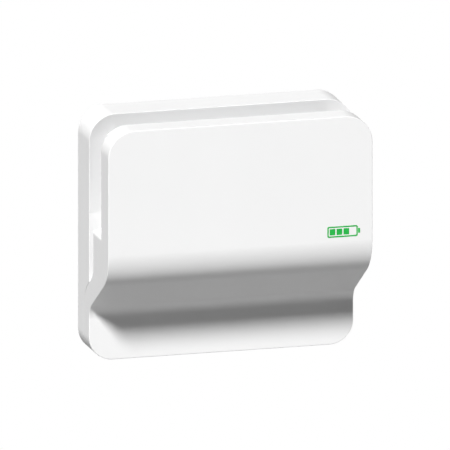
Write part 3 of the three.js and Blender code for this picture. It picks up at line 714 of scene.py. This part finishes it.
def mark():
    """The flush printed mark: a lying cell with three bars of charge."""
    x, h, long, high, line = 129, MARK_HEIGHT, 41, 13.7, 1.7
    f = (COVER_FRONT - 0.02, COVER_FRONT + 0.12)
    left, right, low, top = x - long / 2, x + long / 2 - 3, h - high / 2, h + high / 2
    outline = rounded((left, right), (low, top), 2, steps=6)
    border = prism(outline, "f", f)
    window = rounded((left + line, right - line), (low + line, top - line), 0.8, steps=5)
    cut(border, prism(window, "f", (f[0] - 1, f[1] + 1)))
    nub = prism(rounded((right + 0.4, right + 3), (h - 3, h + 3), 0.7, steps=4), "f", f)
    parts = [border, nub]
    pitch = (right - left - 2 * line) / 4
    for i in range(3):
        start = left + line + 1.2 + i * pitch
        bar = rounded((start, start + pitch - 1.6), (low + line + 1.3, top - line - 1.3), 0.6, steps=4)
        parts.append(prism(bar, "f", f))
    return join("mark", *parts)


def main_casing():
    piece(front_cover(), "cover_shell", "cover", CASING, replaces=["front_cover"])
    piece(rear_housing(), "housing_shell", "base", CASING, replaces=["rear_housing"])
    # The neck sleeve's grey is painted shade that keeps the groove round it dark.
    piece(neck_sleeve(), "neck_sleeve", "base", NECK_SHADE_GREY, 0.6, 3, ["neck_frame"])
    piece(mark(), "mark_print", "cover", MARK, replaces=["badge"])
    dress("neck_gasket", SEAL, 0.3)
    dress("wall_bracket", ZINC, 0.4, 3)


def bottom_fittings():
    ring = [(0, 0.9), (2.6, 0.9), (3, 0.4), (4.2, 0.4), (4.6, 0.9), (6, 0.9), (6.4, 0.3)]
    ring += [(7.7, 0.3), (8, 0.6), (8, 3.6)]
    for name, x in (("grommet_positive", 96), ("grommet_negative", 122)):
        lathed(name, ring + [(9.8, 3.6), (9.8, 5.4), (0, 5.4)], (x, BOTTOM_F, 0), "h", SEAL)
    disc = [(0, 0.3), (6.4, 0.3), (7, 0.8), (7, 3.6), (8.8, 3.6), (8.8, 5.4), (0, 5.4)]
    vent = lathe(disc, (VENT_X, BOTTOM_F, 0), "h", 40)
    for i in range(-2, 3):
        reach, x = 4.8 - abs(i) * 0.9, VENT_X + i * 2
        cut(vent, block((x - 0.45, x + 0.45), (BOTTOM_F - reach, BOTTOM_F + reach), (-1, 2)))
    piece(vent, "vent_cap", "base", DARK, 0.15, 2, ["breather_vent"])
    bezel = [(0, 10), (5.4, 10), (5.4, 0.8), (5.8, 0.3), (7.5, 0.3), (8, 0.8), (8, 3.6)]
    bezel += [(9.8, 3.6), (9.8, 5.4), (7.5, 5.4), (7.5, 12), (0, 12)]
    lathed("button_bezel", bezel, (BUTTON_X, BOTTOM_F, 0), "h", DARK)
    cap = [(0, 1.1), (2.6, 0.95), (4, 0.65), (4.5, 0.75), (4.9, 1.3), (4.9, 7), (0, 7)]
    lathed("power_button", cap, (BUTTON_X, BOTTOM_F, 0), "h", DEVICE, body="button")
    dress("data_port", DARK, 0.3)
    pins = [block((27.5 + i * 2.1, 28.3 + i * 2.1), (9.2, 9.8), (3, 13.9)) for i in range(8)]
    piece(join("pins", *pins), "port_contacts", "base", COPPER)
    head = [(0, 0.8), (3.8, 0.8), (4.5, 1.4), (4.5, 4.6), (2, 4.6), (2, 18.5), (1.6, 19), (0, 19)]
    for i, x in enumerate((-COVER_SCREW_X, COVER_SCREW_X)):
        screw(f"cover_screw_{i + 1}", head, (x, COVER_SCREW_F, 0), "h", (2.1, -1, 2.6), "cover")


# ---- Battery ------------------------------------------------------------------------------------


def box_of(node):
    """A node's box as x, f and h spans in mm."""
    low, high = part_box(node)
    return (
        (low[0] / MM, high[0] / MM),
        (-high[1] / MM, -low[1] / MM),
        (low[2] / MM + HEIGHT / 2, high[2] / MM + HEIGHT / 2),
    )


def middle(span):
    return (span[0] + span[1]) / 2


def square(x, h, half, corner):
    return rounded((x - half, x + half), (h - half, h + half), corner, steps=4)


def cell(i):
    x, f, h = box_of(f"cell_{i}")
    front = f[1] - 3
    can = prism(rounded(x, (f[0], front), 3, steps=6), "h", h)
    cut(can, block((x[0] + 2.4, x[1] - 2.4), (front - 0.5, front + 1), (h[0] + 2.4, h[1] - 2.4)))
    piece(can, f"cell_can_{i}", "base", FILM, 0.8, 3, [f"cell_{i}"])
    centre, mid = middle(x), middle(h)
    lid = rounded((x[0] + 2.6, x[1] - 2.6), (h[0] + 2.6, h[1] - 2.6), 2, steps=4)
    parts = [prism(lid, "f", (front - 0.7, front - 0.25))]
    posts = (mid - 50, mid + 50)
    for post in posts:
        parts.append(prism(square(centre, post, 7, 1.5), "f", (front - 0.3, f[1])))
    burst = [(0, -0.3), (6, -0.3), (6, 0.45), (5.4, 0.45), (5.2, 0.1), (0, 0.1)]
    parts.append(lathe(burst, (centre, front, mid + 26), "f", 28))
    piece(join("metal", *parts), f"cell_lid_{i}", "base", ALLOY, 0.25, 2)
    rings = []
    for post in posts:
        collar = prism(square(centre, post, 9, 2.5), "f", (front - 0.3, front + 0.7))
        cut(collar, prism(square(centre, post, 7.1, 1.5), "f", (front - 1, front + 2)))
        rings.append(collar)
    piece(join("collars", *rings), f"cell_collars_{i}", "base", DARK, 0.2, 2)


def weld_marks():
    marks = []
    for i in range(1, 8):
        x, f, h = box_of(f"busbar_{i}")
        for side in (x[0] + 6.5, x[1] - 6.5):
            ring = [(2.1, 0.0), (2.1, 0.12), (2.5, 0.22), (2.9, 0.12), (2.9, 0.0)]
            marks.append(lathe(ring, (side, f[0] + 1.6, middle(h)), "f", 20))
    piece(join("welds", *marks), "busbar_welds", "base", TIN)


def battery():
    for i in range(1, 9):
        cell(i)
    for i in range(1, 8):
        dress(f"busbar_{i}", COPPER, 0.35, 3)
    for name in ("negative_tap", "positive_tap"):
        dress(name, COPPER, 0.35, 3)
    weld_marks()
    dress("cell_tray", TRAY_STEEL, 0.4)
    dress("cell_clamp", TRAY_STEEL, 0.5, 3)
    pan = [(0, -11), (1.9, -11), (2.3, -10.4), (2.3, 0), (4.6, 0), (4.6, 1.2), (3.8, 2.4), (0, 2.6)]
    for i in range(1, 5):
        x, f, h = box_of(f"tray_screw_{i}")
        profile = scaled(pan, (x[1] - x[0]) / 2, f)
        recess = (1.6, f[1] - 1.6, f[1] + 1)
        screw(f"tray_screw_{i}", profile, (middle(x), 0, middle(h)), "f", recess)
    board = box_of("sense_board")
    dress("sense_board", BOARD, 0.1)
    chips, tabs = [], []
    top = board[1][1]
    for i in range(8):
        x = (i - 3.5) * CELL_PITCH
        chips.append(block((x - 3, x + 3), (top, top + 1.1), (192, 197)))
        chips.append(block((x + 5, x + 7.4), (top, top + 0.7), (193, 194.4)))
        for k in range(4):
            h = (192.4 + k * 1.1, 192.9 + k * 1.1)
            tabs.append(block((x - 3.6, x - 3.05), (top, top + 0.6), h))
            tabs.append(block((x + 3.05, x + 3.6), (top, top + 0.6), h))
    piece(join("chips", *chips), "sense_chips", "base", CHIP, 0.12)
    piece(join("legs", *tabs), "sense_legs", "base", TIN)


def scaled(profile, radius, f):
    """A pan head's profile stretched to a radius and a span along f."""
    wide = max(r for r, _ in profile)
    low, high = min(a for _, a in profile), max(a for _, a in profile)
    return [(r * radius / wide, f[0] + (a - low) / (high - low) * (f[1] - f[0])) for r, a in profile]


# ---- Wiring bay ---------------------------------------------------------------------------------


def board_parts():
    """Small parts on the battery manager's board."""
    top = 11.7
    chips = [
        block((-62, -46), (top, top + 1.4), (86, 92)),
        block((-74, -66), (top, top + 1), (60, 66)),
        block((-30, -22), (top, top + 1.2), (70, 80)),
        block((-32, -20), (top, top + 2.4), (44, 54)),
    ]
    chips += [block((-148, -145), (top, top + 1), (52 + i * 7, 56 + i * 7)) for i in range(7)]
    piece(join("chips", *chips), "bms_chips", "base", CHIP, 0.15)
    legs = [block((-61.4 + i * 1.5, -60.8 + i * 1.5), (top, top + 0.7), (84.9, 93.1)) for i in range(10)]
    legs += [block((-31.1, -20.9), (top, top + 0.5), (71 + i * 1.8, 71.6 + i * 1.8)) for i in range(5)]
    legs += [block((-76 + i * 3, -74.6 + i * 3), (top, top + 0.6), (86, 87)) for i in range(4)]
    piece(join("legs", *legs), "bms_legs", "base", TIN)
    cans = []
    for x, h, r, tall in ((-70, 110, 3.2, 7), (-28, 62, 3.6, 8), (-34, 84, 2.6, 6), (-26, 84, 2.6, 6)):
        side = [(0, 0), (r, 0), (r, 1), (r - 0.25, 1.5), (r, 2), (r, tall - 0.4)]
        side += [(r - 0.4, tall), (0, tall)]
        cans.append(lathe([(a, top + b) for a, b in side], (x, 0, h), "f", 28))
    piece(join("cans", *cans), "bms_capacitors", "base", ALLOY)
    head = [(0, top), (1.5, top), (2.6, top + 0.1), (2.6, top + 0.5), (0, top + 0.7)]
    discs = [lathe(head, (x, 0, h), "f", 28) for x, h in BOARD_CORNERS]
    piece(join("heads", *discs), "board_screws", "base", SCREW_STEEL)


def wiring_bay():
    dress("bms_board", BOARD, 0.1)
    board_parts()
    dress("bms_heatsink", ALLOY, 0.25)
    dress("bay_rail", ZINC, 0.15)
    for name in ("isolator_body", "terminal_block"):
        dress(name, DEVICE, 0.6, 3)
    dress("fuse_holder", DARK, 0.6, 3)
    dress("isolator_toggle", RED, 0.5, 3)
    dress("link_bar", COPPER, 0.3)
    relay()
    small_terminals()
    socket()
    fuse()
    for name in ("terminal_screw_1", "terminal_screw_2"):
        x, f, h = box_of(name)
        pan = scaled([(0, 0), (1, 0), (1, 0.7), (0.86, 1), (0, 1.06)], (x[1] - x[0]) / 2, f)
        screw(name, pan, (middle(x), 0, middle(h)), "f", (2.2, f[1] - 2, f[1] + 1))


def relay():
    x, f, h = box_of("bms_relay")
    case = block(x, f, h)
    cut(case, block((x[0] + 3, x[1] - 3), (f[1] - 0.5, f[1] + 1), (h[0] + 3, h[1] - 3)))
    cut(case, block((x[0] - 1, x[1] + 1), (f[0] + 3, f[0] + 3.6), (h[0] - 1, h[0] + 0.4)))
    piece(case, "relay_case", "base", DARK, 0.7, 3, ["bms_relay"])


def small_terminals():
    x, f, h = box_of("bms_terminals")
    body = block(x, f, h)
    well = [(0, f[1] - 1.5), (5.4, f[1] - 1.5), (5.4, f[1] + 1), (0, f[1] + 1)]
    for stud in (-66, -48):
        cut(body, lathe(well, (stud, 0, 103), "f", 32))
    piece(body, "bms_terminal_body", "base", DEVICE, 0.5, 3, ["bms_terminals"])


def socket():
    x, f, h = box_of("sense_socket")
    body = block(x, f, h)
    cut(body, block((x[0] + 1.2, x[1] - 1.2), (f[1] - 5, f[1] + 1), (h[0] + 4, h[1] - 4)))
    cut(body, block((middle(x) - 2, middle(x) + 2), (f[1] - 5, f[1] + 1), (h[1] - 5, h[1] + 1)))
    piece(body, "sense_header", "base", DEVICE, 0.25, 2, ["sense_socket"])


def fuse():
    x, f, h = box_of("fuse_link")
    centre = (middle(x), middle(f), 0)
    barrel = [(0, 81), (8.2, 81), (8.6, 82), (8.6, 94), (8.2, 95), (0, 95)]
    made = lathe(barrel, centre, "h", 48)
    piece(made, "fuse_barrel", "base", CERAMIC, replaces=["fuse_link"])
    caps = []
    for a, b in ((76, 82), (94, 100)):
        cap = [(0, a), (8.4, a), (9, a + 0.6), (9, b - 0.6), (8.4, b), (0, b)]
        caps.append(lathe(cap, centre, "h", 48))
    for low, high in ((h[0], 76.2), (99.8, h[1])):
        blade = block((centre[0] - 6, centre[0] + 6), (centre[1] - 1, centre[1] + 1), (low, high))
        caps.append(blade)
    piece(join("caps", *caps), "fuse_caps", "base", COPPER, 0.3, 2)


def cables():
    for name, material in (
        ("positive_cable", CABLE_RED),
        ("fuse_lead", CABLE_RED),
        ("negative_cable", CABLE_BLACK),
        ("pack_lead", CABLE_BLACK),
        ("sense_lead", RIBBON),
    ):
        dress(name, material)


main_casing()
bottom_fittings()
battery()
wiring_bay()
cables()

# ---- Stage --------------------------------------------------------------------------------------


def sun(name, direction, strength, angle):
    """A distant light. direction points towards it and angle is its width in degrees."""
    light = bpy.data.lights.new(name, "SUN")
    light.energy = strength
    light.angle = math.radians(angle)
    o = bpy.data.objects.new(name, light)
    bpy.context.scene.collection.objects.link(o)
    o.rotation_mode = "QUATERNION"
    o.rotation_quaternion = Vector(direction).to_track_quat("Z", "Y")


CAMERA_TURN = -15.5
CAMERA_RISE = 14.3
VIEW_WIDE = 0.5418
VIEW_CENTRE = Vector((-0.0005, -0.07, 0.0101))


def camera():
    data = bpy.data.cameras.new("camera")
    data.type = "ORTHO"
    data.ortho_scale = VIEW_WIDE
    o = bpy.data.objects.new("camera", data)
    bpy.context.scene.collection.objects.link(o)
    turn, rise = math.radians(CAMERA_TURN), math.radians(CAMERA_RISE)
    back = Vector((math.sin(turn) * math.cos(rise), -math.cos(turn) * math.cos(rise), math.sin(rise)))
    o.location = VIEW_CENTRE + back * 2
    o.rotation_mode = "QUATERNION"
    o.rotation_quaternion = back.to_track_quat("Z", "Y")
    bpy.context.scene.camera = o


def floor():
    """A plain white floor that only the camera sees, and only from above."""
    bm = bmesh.new()
    corners = rectangle((-6000, 6000), (-6000, 6000))
    bm.faces.new([bm.verts.new(place(x, f, -50)) for x, f in corners])
    o = new_object("floor", bm)
    if o.data.polygons[0].normal.z < 0:
        o.data.flip_normals()
    white = bpy.data.materials.new("floor_white")
    white.use_nodes = True
    nodes, links = white.node_tree.nodes, white.node_tree.links
    mix = nodes.new("ShaderNodeMixShader")
    links.new(nodes.new("ShaderNodeNewGeometry").outputs["Backfacing"], mix.inputs[0])
    links.new(nodes.new("ShaderNodeEmission").outputs[0], mix.inputs[1])
    links.new(nodes.new("ShaderNodeBsdfTransparent").outputs[0], mix.inputs[2])
    links.new(mix.outputs[0], nodes["Material Output"].inputs["Surface"])
    o.data.materials.append(white)
    o.visible_diffuse = o.visible_glossy = o.visible_transmission = o.visible_shadow = False


def surroundings():
    scene = bpy.context.scene
    scene.view_settings.view_transform = "Standard"
    world = bpy.data.worlds.new("studio")
    scene.world = world
    world.use_nodes = True
    nodes, links = world.node_tree.nodes, world.node_tree.links
    light = nodes["Background"]
    light.inputs["Color"].default_value = (1, 1, 1, 1)
    seen = nodes.new("ShaderNodeBackground")
    seen.inputs["Color"].default_value = (1, 1, 1, 1)
    ray = nodes.new("ShaderNodeLightPath")
    strength = nodes.new("ShaderNodeMath")  # shiny surfaces see a brighter room than matt ones
    strength.operation = "MULTIPLY_ADD"
    strength.inputs[1].default_value = 0.5
    strength.inputs[2].default_value = 0.01
    links.new(ray.outputs["Is Glossy Ray"], strength.inputs[0])
    links.new(strength.outputs[0], light.inputs["Strength"])
    mix = nodes.new("ShaderNodeMixShader")
    links.new(ray.outputs["Is Camera Ray"], mix.inputs[0])
    links.new(light.outputs[0], mix.inputs[1])
    links.new(seen.outputs[0], mix.inputs[2])
    links.new(mix.outputs[0], nodes["World Output"].inputs["Surface"])


surroundings()
floor()
camera()
sun("key", (-0.355, -0.591, 0.724), 5.2, 10.5)
sun("left_fill", (-1, -0.05, 0.1), 0.83, 50)
sun("low_fill", (0.33, -0.42, -0.85), 0.98, 50)
sun("right_fill", (1, 0.1, 0), 0.35, 5)
sun("back_fill", (0.02, 1, 0), 1.8, 5)
